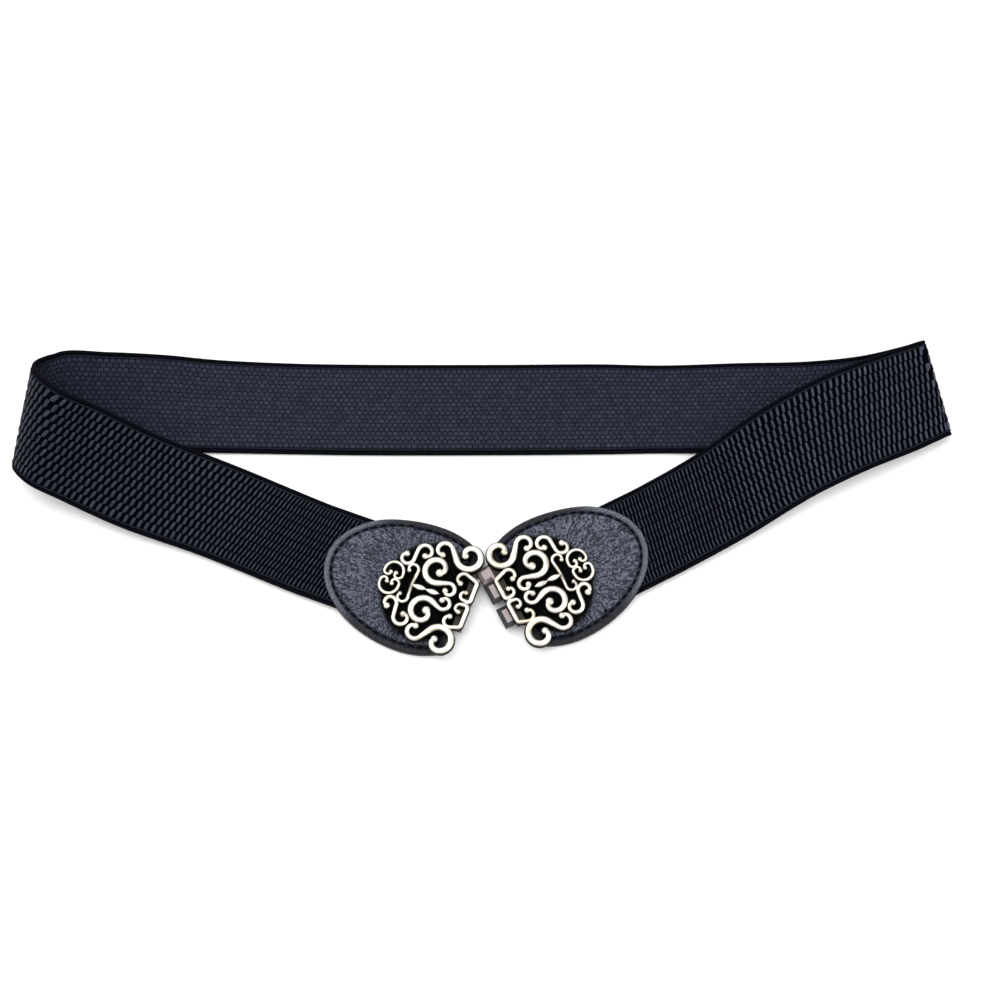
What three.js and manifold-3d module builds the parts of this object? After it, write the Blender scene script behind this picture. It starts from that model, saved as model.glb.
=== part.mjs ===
// A stretch waist belt, fastened and laid down: a woven elastic band, a leather tab
// stitched round each end, and a clasp of two scrollwork plates with lugs and a keeper.
// Millimetres, Z up. The surface that the belt lies on is z = 0.
import * as THREE from 'three';
import { mergeVertices } from 'three/addons/utils/BufferGeometryUtils.js';
import Module from 'manifold-3d';

const wasm = await Module();
wasm.setup();

// Band
const bandWidth = 38;
const bandThickness = 2;
const selvageWidth = 1.9;
const selvageThickness = 1.4;
const loopWidth = 360;
const foldGap = 1;
const endWide = 0.975;

// Leather tabs
const leatherWall = 1.1;
const tabHalfHeight = 25.2;
const tabEdgeThickness = 2.8;
const tabShoulder = 6;
const tabOuterLength = 37.2;
const tabInnerLength = 29;
const tabMiddle = -4.5;
const tabInnerEdge = 12.6;
const tabEdgeRound = 0.5;
const pocketEnd = -15;
const mouthRun = 6;

// Clasp
const plateHeight = 44;
const reliefHeight = 2.2;
const ballRise = 0.25;
const barWidth = 3.6;
const barThickness = 2.4;
const barUpperEnd = 15.4;
const barLowerEnd = -9.6;
const lugReach = 7.9;
const lugThickness = 2;
const lugBevel = 1.5;
const lugBevelDrop = 0.9;
const keeperThickness = 3.4;

// Fits
const pieceGap = 0.3;
const lugClearance = 0.35;

// Counts of steps on round shapes
const foldSteps = 6;
const tabArcSteps = 20;
const tabCutSteps = 4;
const ballSides = 10;
const leafSteps = 8;
const coilStepAngle = 26;
const bandStepAngle = 11;
const bandStepLength = 12;

// What follows from the sizes above
const pocketHeight = bandThickness + 2 * pieceGap;
const tabThickness = pocketHeight + 2 * leatherWall;
const plateBase = tabThickness + pieceGap;
const bandEnd = pocketEnd - pieceGap;
const tabOuterEnd = tabMiddle - tabOuterLength;

// The two halves of the clasp. x and y are the place of the plate's centre as shares of its
// height, heading is the way from the strap to the clasp in degrees, and hand is -1 where the
// half is mirrored. tabU and tabV are how far the leather lies off the plate's centre, and
// bandV is how far the band's end lies off it, across the plate.
const halves = [
  { side: 'left', x: -0.6055, y: -0.8697, heading: -20.3, hand: 1, tabU: 0.4, tabV: 1.1, bandV: 1.5 },
  { side: 'right', x: 0.3829, y: -0.7953, heading: 207.2, hand: -1, tabU: -0.4, tabV: 0.9, bandV: -0.2 },
];

// The band from the left tab round the back to the right tab, a row for each place.
// x and y: the band's middle line, as shares of the loop's width.
// low: how far the near edge is off the table, as a share of the band's width.
// lean: how steeply the band rises from its near edge to its far edge, in degrees.
// turn: the plan direction from the near edge to the far edge, in degrees.
// wide: how much wider or narrower the stretched band is there.
const bandRows = [
  { at: 'left strap, low', x: -0.295, y: -0.016, low: 0.04, lean: 3, turn: 69, wide: 0.98 },
  { at: 'left strap', x: -0.377, y: 0.010, low: 0.11, lean: 16, turn: 66, wide: 0.99 },
  { at: 'left strap, high', x: -0.438, y: 0.034, low: 0.21, lean: 26, turn: 63, wide: 1.02 },
  { at: 'left bend, over', x: -0.472, y: 0.045, low: 0.34, lean: 34, turn: 63, wide: 1.03 },
  { at: 'left bend, edge', x: -0.499, y: 0.075, low: 0.18, lean: 36, turn: 70, wide: 1.04 },
  { at: 'left bend, under', x: -0.481, y: 0.096, low: 0, lean: 31, turn: 75, wide: 1.04 },
  { at: 'back run, left end', x: -0.422, y: 0.102, low: 0, lean: 28, turn: 82, wide: 1 },
  { at: 'back run, rising', x: -0.363, y: 0.1045, low: 0, lean: 17, turn: 88, wide: 0.99 },
  { at: 'back run, lifting', x: -0.309, y: 0.105, low: 0, lean: 7, turn: 91, wide: 0.99 },
  { at: 'back run, left', x: -0.228, y: 0.1045, low: 0, lean: 1, turn: 91, wide: 1.005 },
  { at: 'back run, flat', x: -0.147, y: 0.1036, low: 0, lean: 0, turn: 90, wide: 1.01 },
  { at: 'back run, middle', x: 0, y: 0.1036, low: 0, lean: 0, turn: 90, wide: 1.008 },
  { at: 'back run, right', x: 0.109, y: 0.1044, low: 0, lean: 0, turn: 90, wide: 1.005 },
  { at: 'back run, dip', x: 0.179, y: 0.1043, low: 0, lean: 0, turn: 90, wide: 0.98 },
  { at: 'back run, lifting again', x: 0.261, y: 0.1037, low: 0, lean: 5, turn: 91, wide: 0.97 },
  { at: 'back run, under strap', x: 0.340, y: 0.1030, low: 0, lean: 9, turn: 96, wide: 0.97 },
  { at: 'back run, right end', x: 0.405, y: 0.1072, low: 0, lean: 13, turn: 102, wide: 0.99 },
  { at: 'crease', x: 0.470, y: 0.1197, low: 0.05, lean: 17, turn: 106, wide: 1.01, fold: true },
  { at: 'right strap, outer', x: 0.428, y: 0.100, low: 0.105, lean: 20, turn: 111, wide: 1.04 },
  { at: 'right strap, bow', x: 0.3655, y: 0.0725, low: 0.158, lean: 21, turn: 118, wide: 1.05 },
  { at: 'right strap', x: 0.305, y: 0.0430, low: 0.13, lean: 16, turn: 122, wide: 1.02 },
  { at: 'right strap, low', x: 0.232, y: -0.0010, low: 0.066, lean: 5, turn: 121, wide: 0.975 },
];

// A plate's scrolls. Each runs round its turns in order. u points to the clasp and v across the
// plate; u, v, radius, width and ball are shares of the plate's height. hand is 1 where the
// scroll runs counter-clockwise round the turn, coil is how far it winds in past it, in
// degrees, and tight is the share of the radius that is left at the ball.
const scrolls = {
  upperCorner: [
    { u: 0.218, v: 0.398, radius: 0.109, hand: -1, coil: 325, tight: 0.3, width: 0.070, ball: 0.034 },
    { u: 0.006, v: 0.378, radius: 0.070, hand: 1, coil: 225, tight: 0.56, width: 0.050, ball: 0.031 },
  ],
  upperCrest: [
    { u: -0.269, v: 0.218, radius: 0.057, hand: 1, coil: 235, tight: 0.58, width: 0.044, ball: 0.031 },
    { u: -0.144, v: 0.306, radius: 0.066, hand: -1, coil: 250, tight: 0.46, width: 0.045, ball: 0.031 },
  ],
  upperTip: [
    { u: -0.377, v: 0.054, radius: 0.037, hand: -1, coil: 170, tight: 0.6, width: 0.032, ball: 0.022 },
    { u: -0.332, v: 0.063, radius: 0.081, hand: -1, coil: 0, tight: 1, width: 0.034, ball: 0 },
    { u: -0.289, v: 0.048, radius: 0.040, hand: -1, coil: 200, tight: 0.55, width: 0.032, ball: 0.022 },
  ],
  upperHeart: [
    { u: 0.013, v: 0.194, radius: 0.110, hand: 1, coil: 320, tight: 0.24, width: 0.066, ball: 0.040 },
    { u: 0.155, v: 0.066, radius: 0.057, hand: -1, coil: 250, tight: 0.46, width: 0.047, ball: 0.030 },
  ],
  upperBrace: [
    { u: -0.186, v: 0.131, radius: 0.047, hand: -1, coil: 215, tight: 0.7, width: 0.034, ball: 0.022 },
    { u: -0.149, v: -0.004, radius: 0.001, hand: 1, coil: 0, tight: 1, width: 0.034, ball: 0 },
  ],
  upperBracket: [
    { u: 0.248, v: 0.190, radius: 0.056, hand: -1, coil: 175, tight: 0.7, width: 0.041, ball: 0.028 },
    { u: 0.338, v: 0.188, radius: 0.028, hand: -1, coil: 0, tight: 1, width: 0.048, ball: 0 },
    { u: 0.338, v: 0.048, radius: 0.028, hand: -1, coil: 0, tight: 1, width: 0.048, ball: 0 },
    { u: 0.311, v: 0.066, radius: 0.042, hand: -1, coil: 160, tight: 0.66, width: 0.038, ball: 0.025 },
  ],
  lowerCorner: [
    { u: 0.232, v: -0.370, radius: 0.114, hand: 1, coil: 325, tight: 0.3, width: 0.070, ball: 0.034 },
    { u: 0.020, v: -0.358, radius: 0.070, hand: -1, coil: 225, tight: 0.56, width: 0.050, ball: 0.031 },
  ],
  lowerCrest: [
    { u: -0.263, v: -0.210, radius: 0.057, hand: -1, coil: 235, tight: 0.58, width: 0.044, ball: 0.031 },
    { u: -0.130, v: -0.290, radius: 0.066, hand: 1, coil: 250, tight: 0.46, width: 0.045, ball: 0.031 },
  ],
  lowerTip: [
    { u: -0.379, v: -0.045, radius: 0.037, hand: 1, coil: 170, tight: 0.6, width: 0.032, ball: 0.022 },
    { u: -0.333, v: -0.057, radius: 0.082, hand: 1, coil: 0, tight: 1, width: 0.034, ball: 0 },
    { u: -0.290, v: -0.039, radius: 0.040, hand: 1, coil: 200, tight: 0.55, width: 0.032, ball: 0.022 },
  ],
  lowerHeart: [
    { u: 0.022, v: -0.175, radius: 0.110, hand: -1, coil: 320, tight: 0.24, width: 0.066, ball: 0.040 },
    { u: 0.159, v: -0.055, radius: 0.057, hand: 1, coil: 250, tight: 0.46, width: 0.047, ball: 0.030 },
  ],
  lowerBrace: [
    { u: -0.186, v: -0.119, radius: 0.047, hand: 1, coil: 215, tight: 0.7, width: 0.034, ball: 0.022 },
    { u: -0.149, v: 0.004, radius: 0.001, hand: -1, coil: 0, tight: 1, width: 0.034, ball: 0 },
  ],
  lowerBracket: [
    { u: 0.266, v: -0.180, radius: 0.055, hand: 1, coil: 175, tight: 0.7, width: 0.041, ball: 0.028 },
    { u: 0.337, v: -0.184, radius: 0.028, hand: 1, coil: 0, tight: 1, width: 0.048, ball: 0 },
    { u: 0.338, v: -0.039, radius: 0.028, hand: 1, coil: 0, tight: 1, width: 0.048, ball: 0 },
    { u: 0.309, v: -0.057, radius: 0.042, hand: 1, coil: 160, tight: 0.66, width: 0.038, ball: 0.025 },
  ],
};

// The two leaves on the plate's long axis: centre, half length and half width as shares of
// the plate's height, and the angle to the axis in degrees.
const leaves = [
  { u: -0.080, v: 0.004, length: 0.062, width: 0.026, angle: 2 },
  { u: 0.038, v: 0.004, length: 0.060, width: 0.026, angle: 2 },
];

// The lugs on the right half's bar: the middle and the width of each, across the plate.
const lugs = [
  { v: 13.4, width: 6.4 },
  { v: 6.15, width: 8.3 },
  { v: -4.35, width: 8.1 },
];

// How late a coil winds in: higher keeps it round for longer.
const windPower = 3;
const coilThinning = 0.35;
const topShare = 0.78;
const leafTip = 0.3;

const radians = THREE.MathUtils.degToRad;

// Turns rings of equal length into one closed solid; the first and last rings are capped.
function loft(rings) {
  const size = rings[0].length;
  const vertices = rings.flat().flatMap((point) => [point.x, point.y, point.z]);
  const triangles = [];
  for (let ring = 0; ring + 1 < rings.length; ring += 1) {
    for (let side = 0; side < size; side += 1) {
      const a = ring * size + side;
      const b = ring * size + ((side + 1) % size);
      triangles.push(a, b, b + size, a, b + size, a + size);
    }
  }
  const last = (rings.length - 1) * size;
  for (let side = 1; side + 1 < size; side += 1) {
    triangles.push(0, side + 1, side);
    triangles.push(last, last + side, last + side + 1);
  }
  return solid(new Float32Array(vertices), new Uint32Array(triangles));
}

function solid(vertProperties, triVerts) {
  return new wasm.Manifold(new wasm.Mesh({ numProp: 3, vertProperties, triVerts }));
}

function solidOf(geometry) {
  const bare = geometry.toNonIndexed();
  bare.deleteAttribute('normal');
  bare.deleteAttribute('uv');
  const merged = mergeVertices(bare, 1e-4);
  return solid(new Float32Array(merged.attributes.position.array), new Uint32Array(merged.index.array));
}

function box(uLow, uHigh, vLow, vHigh, zLow, zHigh) {
  const geometry = new THREE.BoxGeometry(uHigh - uLow, vHigh - vLow, zHigh - zLow);
  geometry.translate((uLow + uHigh) / 2, (vLow + vHigh) / 2, (zLow + zHigh) / 2);
  return solidOf(geometry);
}

function geometryOf(body) {
  const mesh = body.getMesh();
  const geometry = new THREE.BufferGeometry();
  geometry.setAttribute('position', new THREE.BufferAttribute(new Float32Array(mesh.vertProperties), 3));
  geometry.setIndex(new THREE.BufferAttribute(new Uint32Array(mesh.triVerts), 1));
  geometry.computeVertexNormals();
  return geometry;
}

// The matrix that takes a half's own u, v, z to the belt's frame. Its hand mirrors v.
function placeOf(half) {
  const turn = new THREE.Matrix4().makeRotationZ(radians(half.heading));
  const mirror = new THREE.Matrix4().makeScale(1, half.hand, 1);
  const move = new THREE.Matrix4().makeTranslation(half.x * plateHeight, half.y * plateHeight, 0);
  return move.multiply(turn).multiply(mirror);
}

// Band

function rulingOf(turn, lean) {
  const ruling = new THREE.Vector3(Math.cos(radians(lean)), 0, Math.sin(radians(lean)));
  return ruling.applyAxisAngle(new THREE.Vector3(0, 0, 1), radians(turn));
}

// A place on the band's middle line and the direction across it, as long as the band is wide.
function stationOf(row) {
  const across = rulingOf(row.turn, row.lean).multiplyScalar(row.wide);
  const height = bandThickness / 2 + row.low * bandWidth + (across.z * bandWidth) / 2;
  return { centre: new THREE.Vector3(row.x * loopWidth, row.y * loopWidth, height), across };
}

// The band doubled back over itself round a crease, in small steps.
function foldOf(row) {
  const { centre, across } = stationOf(row);
  const outward = new THREE.Vector3(across.y, -across.x, 0).normalize();
  const upward = new THREE.Vector3().crossVectors(outward, across).normalize();
  const radius = (bandThickness + foldGap) / 2;
  const stations = [];
  for (let step = 0; step <= foldSteps; step += 1) {
    const angle = Math.PI * (step / foldSteps - 0.5);
    const point = centre.clone().addScaledVector(outward, radius * (Math.cos(angle) - 1));
    point.addScaledVector(upward, radius * Math.sin(angle));
    stations.push({ centre: point, across });
  }
  return stations;
}

// The straight, flat end of the band between the tab's two leather walls.
function endStations(half) {
  const place = placeOf(half);
  const across = rulingOf(half.heading + 90 * half.hand, 0).multiplyScalar(endWide);
  const run = [bandEnd, (bandEnd + tabOuterEnd) / 2, tabOuterEnd, tabOuterEnd - mouthRun];
  return run.map((u) => {
    const centre = new THREE.Vector3(u, half.bandV, tabThickness / 2);
    return { centre: centre.applyMatrix4(place), across };
  });
}

function bandStations() {
  const middle = bandRows.flatMap((row) => (row.fold ? foldOf(row) : [stationOf(row)]));
  return [...endStations(halves[0]), ...middle, ...endStations(halves[1]).reverse()];
}

// The band's section: s runs across the band and h through it, with thinner selvages.
function bandSection(wide) {
  const edge = (bandWidth * wide) / 2;
  const body = edge - selvageWidth;
  const thin = selvageThickness / 2;
  const thick = bandThickness / 2;
  return [
    [-edge, -thin], [-body, -thick], [body, -thick], [edge, -thin],
    [edge, thin], [body, thick], [-body, thick], [-edge, thin],
  ];
}

// How much shorter a ruling is across the band than along its own slanting direction.
function slantOf(tangent, direction) {
  return Math.sqrt(1 - tangent.dot(direction) ** 2);
}

function smoothLine(points) {
  return new THREE.CatmullRomCurve3(points, false, 'centripetal');
}

// The band's near and far edges, as smooth lines through the stations' ends.
function bandEdges(stations) {
  const middle = smoothLine(stations.map((station) => station.centre));
  return [-1, 1].map((side) => smoothLine(stations.map(({ centre, across }, index) => {
    const tangent = middle.getTangent(index / (stations.length - 1));
    const reach = (side * bandWidth) / 2 / slantOf(tangent, across.clone().normalize());
    return centre.clone().addScaledVector(across, reach);
  })));
}

function bandRing([nearEdge, farEdge], share) {
  const near = nearEdge.getPoint(share);
  const far = farEdge.getPoint(share);
  const centre = near.clone().lerp(far, 0.5);
  const direction = far.clone().sub(near).normalize();
  const tangent = nearEdge.getTangent(share).add(farEdge.getTangent(share)).normalize();
  const inward = new THREE.Vector3().crossVectors(tangent, direction).normalize();
  const slant = slantOf(tangent, direction);
  const ring = bandSection((far.distanceTo(near) * slant) / bandWidth).map(([s, h]) => (
    centre.clone().addScaledVector(direction, s / slant).addScaledVector(inward, h)
  ));
  const sunk = Math.min(0, ...ring.map((point) => point.z));
  ring.forEach((point) => { point.z -= sunk; });
  return ring;
}

function bandSolid() {
  const stations = bandStations();
  const edges = bandEdges(stations);
  const spans = stations.length - 1;
  const rings = [];
  for (let span = 0; span < spans; span += 1) {
    const [first, last] = [span / spans, (span + 1) / spans];
    const bends = edges.map((edge) => edge.getTangent(first).angleTo(edge.getTangent(last)));
    const bend = THREE.MathUtils.radToDeg(Math.max(...bends));
    const length = stations[span].centre.distanceTo(stations[span + 1].centre);
    const steps = Math.max(1, Math.ceil(bend / bandStepAngle), Math.ceil(length / bandStepLength));
    for (let step = 0; step < steps; step += 1) {
      rings.push(bandRing(edges, (span + step / steps) / spans));
    }
  }
  rings.push(bandRing(edges, 1));
  return loft(rings);
}

// Leather tabs

// How high the leather's edge is at a distance from the tab's middle line. It is thin where
// the two walls are stitched together, and lifted where the band passes between them.
function edgeHeight(u, distance) {
  const overBand = THREE.MathUtils.smoothstep(bandWidth / 2 + tabShoulder - distance, 0, tabShoulder);
  const full = u < pocketEnd ? overBand : 0;
  return THREE.MathUtils.lerp(tabEdgeThickness, tabThickness - tabEdgeRound, full);
}

// An egg drawn in from its edge by an inset, with its long end over the band and its short
// end cut straight at the clasp. height takes each point's place and gives its z.
function tabRing(shift, inset, height) {
  const tall = tabHalfHeight - inset;
  const cutEdge = tabInnerEdge - shift - inset;
  const cut = Math.acos((cutEdge - tabMiddle) / (tabInnerLength - inset));
  const points = [];
  const arc = (length, from, to, steps) => {
    for (let step = 0; step < steps; step += 1) {
      const angle = from + ((to - from) * step) / steps;
      points.push([tabMiddle + length * Math.cos(angle), tall * Math.sin(angle)]);
    }
  };
  arc(tabInnerLength - inset, cut, Math.PI / 2, tabArcSteps / 2);
  arc(tabOuterLength - inset, Math.PI / 2, (3 * Math.PI) / 2, 2 * tabArcSteps);
  arc(tabInnerLength - inset, -Math.PI / 2, -cut, tabArcSteps / 2);
  for (let step = 0; step < tabCutSteps; step += 1) {
    points.push([cutEdge, tall * Math.sin(cut) * ((2 * step) / tabCutSteps - 1)]);
  }
  return points.map(([u, v]) => new THREE.Vector3(u, v, height(u, Math.abs(v))));
}

function tabSolid(half) {
  const ring = (inset, height) => tabRing(half.tabU, inset, height);
  const rise = (share) => (u, distance) => {
    const edge = edgeHeight(u, distance);
    return edge + (tabThickness - edge) * share;
  };
  const rings = [
    ring(tabEdgeRound, () => 0),
    ring(0, () => tabEdgeRound),
    ring(0, (u, distance) => edgeHeight(u, distance) - tabEdgeRound),
    ring(tabEdgeRound, rise(0)),
    ring(tabShoulder / 2, rise(0.7)),
    ring(tabShoulder, rise(1)),
  ];
  const egg = loft(rings).translate([half.tabU, half.tabV, 0]);
  const reach = bandWidth / 2 + pieceGap;
  const pocket = box(tabOuterEnd - mouthRun, pocketEnd, half.bandV - reach, half.bandV + reach,
    leatherWall, leatherWall + pocketHeight);
  return egg.subtract(pocket);
}

// Scrollwork plates

function normalOf(angle) {
  return new THREE.Vector2(-Math.sin(angle), Math.cos(angle));
}

// The direction of the straight run from one turn to the next, tangent to both.
function runAngle(from, to) {
  const apart = Math.hypot(to.u - from.u, to.v - from.v);
  const line = Math.atan2(to.v - from.v, to.u - from.u);
  return line - Math.asin((to.hand * to.radius - from.hand * from.radius) / apart);
}

// Points round one turn from one angle to another, winding in to its ball where it is an end.
function arcPoints(turn, from, to, startTight, endTight) {
  const sweep = to - from;
  const steps = sweep === 0 ? 0 : Math.max(2, Math.ceil(Math.abs(sweep) / radians(coilStepAngle)));
  const points = [];
  for (let step = 0; step <= steps; step += 1) {
    const share = steps === 0 ? 1 : step / steps;
    const windIn = (1 - startTight) * (1 - share) ** windPower + (1 - endTight) * share ** windPower;
    const reach = turn.radius * (1 - windIn);
    const angle = from + sweep * share;
    points.push({
      u: turn.u + reach * Math.cos(angle),
      v: turn.v + reach * Math.sin(angle),
      width: turn.width * (1 - coilThinning * windIn),
    });
  }
  return points;
}

// The middle line of a scroll with its width at each point, in shares of the plate's height.
function scrollLine(turns) {
  const points = [];
  turns.forEach((turn, index) => {
    const arriving = index > 0 ? runAngle(turns[index - 1], turn) : null;
    const leaving = index + 1 < turns.length ? runAngle(turn, turns[index + 1]) : null;
    const side = (turn.hand * Math.PI) / 2;
    const wind = turn.hand * radians(turn.coil);
    const from = arriving === null ? leaving - side - wind : arriving - side;
    let to = leaving === null ? arriving - side + wind : leaving - side;
    if (arriving !== null && leaving !== null) {
      const full = 2 * Math.PI * turn.hand;
      to = from + (((to - from) % full) + full) % full;
    }
    const startTight = arriving === null ? turn.tight : 1;
    const endTight = leaving === null ? turn.tight : 1;
    points.push(...arcPoints(turn, from, to, startTight, endTight));
  });
  return points;
}

// A ribbon along a line of points, with a flat foot, sloping sides and a narrower top.
function ribbon(line) {
  const rings = line.map((point, index) => {
    const before = line[Math.max(0, index - 1)];
    const after = line[Math.min(line.length - 1, index + 1)];
    const normal = normalOf(Math.atan2(after.v - before.v, after.u - before.u));
    const foot = (point.width * plateHeight) / 2;
    const top = topShare * foot;
    const section = [[-foot, 0], [foot, 0], [top, reliefHeight], [-top, reliefHeight]];
    return section.map(([side, height]) => new THREE.Vector3(
      point.u * plateHeight + normal.x * side, point.v * plateHeight + normal.y * side, height));
  });
  return loft(rings);
}

function ballAt(point, radius) {
  const height = reliefHeight + ballRise;
  const geometry = new THREE.CylinderGeometry(radius * topShare, radius, height, ballSides);
  geometry.rotateX(Math.PI / 2);
  geometry.translate(point.u * plateHeight, point.v * plateHeight, height / 2);
  return solidOf(geometry);
}

function scrollParts(turns) {
  const line = scrollLine(turns);
  const parts = [ribbon(line)];
  const ends = [[turns[0], line[0]], [turns[turns.length - 1], line[line.length - 1]]];
  ends.filter(([turn]) => turn.ball > 0).forEach(([turn, point]) => {
    parts.push(ballAt(point, turn.ball * plateHeight));
  });
  return parts;
}

function leafPart(leaf) {
  const line = [];
  for (let step = 0; step <= leafSteps; step += 1) {
    const along = (2 * step) / leafSteps - 1;
    line.push({
      u: leaf.u + leaf.length * along * Math.cos(radians(leaf.angle)),
      v: leaf.v + leaf.length * along * Math.sin(radians(leaf.angle)),
      width: 2 * leaf.width * Math.max(leafTip, 1 - along * along),
    });
  }
  return ribbon(line);
}

function plateSolid() {
  const parts = [...Object.values(scrolls).flatMap(scrollParts), ...leaves.map(leafPart)];
  return parts.reduce((whole, part) => whole.add(part)).translate([0, 0, plateBase]);
}

// Lugs and keeper under the plates' straight edges

// One lug, from the bar outwards, with its top drawn in at its end and its sides.
function lugPart(lug) {
  const top = plateBase - pieceGap;
  const root = tabInnerEdge + pieceGap + barWidth / 2;
  const end = tabInnerEdge + pieceGap + lugReach;
  const half = lug.width / 2;
  const ring = (inset, height) => [
    new THREE.Vector3(root, lug.v - half + inset, height),
    new THREE.Vector3(end - inset, lug.v - half + inset, height),
    new THREE.Vector3(end - inset, lug.v + half - inset, height),
    new THREE.Vector3(root, lug.v + half - inset, height),
  ];
  return loft([ring(0, top - lugThickness), ring(0, top - lugBevelDrop), ring(lugBevel, top)]);
}

function lugBar() {
  const top = plateBase - pieceGap;
  const inner = tabInnerEdge + pieceGap;
  const bar = box(inner, inner + barWidth, barLowerEnd, barUpperEnd, top - barThickness, top);
  return lugs.map(lugPart).reduce((whole, part) => whole.add(part), bar);
}

// The room that the right half's bar and lugs need, which the keeper leaves free.
function lugRoom() {
  const top = plateBase - pieceGap;
  const inner = tabInnerEdge + pieceGap;
  let room = box(inner - lugClearance, inner + barWidth + lugClearance, barLowerEnd - lugClearance,
    barUpperEnd + lugClearance, top - barThickness - lugClearance, top + lugClearance);
  lugs.forEach(({ v, width }) => {
    const half = width / 2 + lugClearance;
    room = room.add(box(inner, inner + lugReach + lugClearance, v - half, v + half,
      top - lugThickness - lugClearance, top + lugClearance));
  });
  return room;
}

function keeperBar() {
  const top = plateBase - pieceGap;
  const inner = tabInnerEdge + pieceGap;
  const toLeft = placeOf(halves[0]).invert().multiply(placeOf(halves[1]));
  const bar = box(inner, inner + barWidth, barLowerEnd, barUpperEnd, top - keeperThickness, top);
  return bar.subtract(lugRoom().transform(toLeft.elements));
}

// Assembly

const finishes = {
  elastic: { color: 0x12151f, roughness: 0.85, metalness: 0 },
  leather: { color: 0x33363f, roughness: 0.55, metalness: 0 },
  scrollwork: { color: 0xd9cfb4, roughness: 0.35, metalness: 1 },
  lugs: { color: 0xa89a96, roughness: 0.4, metalness: 1 },
};

function piece(name, body, finish) {
  const mesh = new THREE.Mesh(geometryOf(body), new THREE.MeshStandardMaterial(finishes[finish]));
  mesh.name = name;
  return mesh;
}

const belt = new THREE.Group();
belt.add(piece('elastic_band', bandSolid(), 'elastic'));

halves.forEach((half) => {
  const place = placeOf(half).elements;
  belt.add(piece(`${half.side}_leather_tab`, tabSolid(half).transform(place), 'leather'));
  belt.add(piece(`${half.side}_scroll_plate`, plateSolid().transform(place), 'scrollwork'));
});
belt.add(piece('right_clasp_lugs', lugBar().transform(placeOf(halves[1]).elements), 'lugs'));
belt.add(piece('left_clasp_keeper', keeperBar().transform(placeOf(halves[0]).elements), 'lugs'));

// The origin is the middle of the belt's footprint, on the table.
const bounds = new THREE.Box3().setFromObject(belt);
const footprint = bounds.getCenter(new THREE.Vector3());
belt.position.set(-footprint.x, -footprint.y, -bounds.min.z);

export default belt;
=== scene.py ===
import math

import bpy
import numpy as np
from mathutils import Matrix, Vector


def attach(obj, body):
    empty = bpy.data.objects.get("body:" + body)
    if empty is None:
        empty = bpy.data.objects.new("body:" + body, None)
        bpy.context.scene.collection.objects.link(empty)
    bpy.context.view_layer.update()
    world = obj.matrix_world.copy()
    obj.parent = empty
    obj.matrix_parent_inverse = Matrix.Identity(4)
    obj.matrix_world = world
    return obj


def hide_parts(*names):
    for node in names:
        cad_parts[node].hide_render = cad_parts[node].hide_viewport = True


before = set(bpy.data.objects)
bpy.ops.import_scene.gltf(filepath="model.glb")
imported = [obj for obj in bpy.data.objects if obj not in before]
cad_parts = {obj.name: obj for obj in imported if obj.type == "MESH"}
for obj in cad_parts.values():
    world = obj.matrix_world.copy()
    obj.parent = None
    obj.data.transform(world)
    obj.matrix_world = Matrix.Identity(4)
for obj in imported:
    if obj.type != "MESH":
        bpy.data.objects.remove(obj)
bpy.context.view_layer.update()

# Lengths are written in millimetres, as in the CAD source, and made into metres in mesh().
MM = 0.001

# How far the CAD group is moved to set its origin under the middle of the belt.
SHIFT = np.array([5.489876, 0.679951, 0.0])

# Band
BAND_WIDTH = 38.0
BAND_THICKNESS = 2.0
LOOP_WIDTH = 360.0
FOLD_GAP = 1.0
FOLD_STEPS = 6
END_WIDE = 0.975

# Leather tabs
PIECE_GAP = 0.3
LEATHER_WALL = 1.1
POCKET_HEIGHT = BAND_THICKNESS + 2 * PIECE_GAP
TAB_THICKNESS = POCKET_HEIGHT + 2 * LEATHER_WALL
TAB_HALF_HEIGHT = 25.2
TAB_EDGE = 2.8
TAB_SHOULDER = 6.0
TAB_OUTER_LENGTH = 37.2
TAB_INNER_LENGTH = 29.0
TAB_MIDDLE = -4.5
TAB_INNER_EDGE = 12.6
TAB_ROUND = 0.5
POCKET_END = -15.0
MOUTH_RUN = 6.0
TAB_OUTER_END = TAB_MIDDLE - TAB_OUTER_LENGTH

# Clasp
PLATE_HEIGHT = 44.0
PLATE_BASE = TAB_THICKNESS + PIECE_GAP
RELIEF = 2.2

# x and y are shares of the plate's height.
HALVES = {
    "left": dict(x=-0.6055, y=-0.8697, heading=-20.3, hand=1, tab_u=0.4, tab_v=1.1, band_v=1.5),
    "right": dict(x=0.3829, y=-0.7953, heading=207.2, hand=-1, tab_u=-0.4, tab_v=0.9, band_v=-0.2),
}

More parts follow.
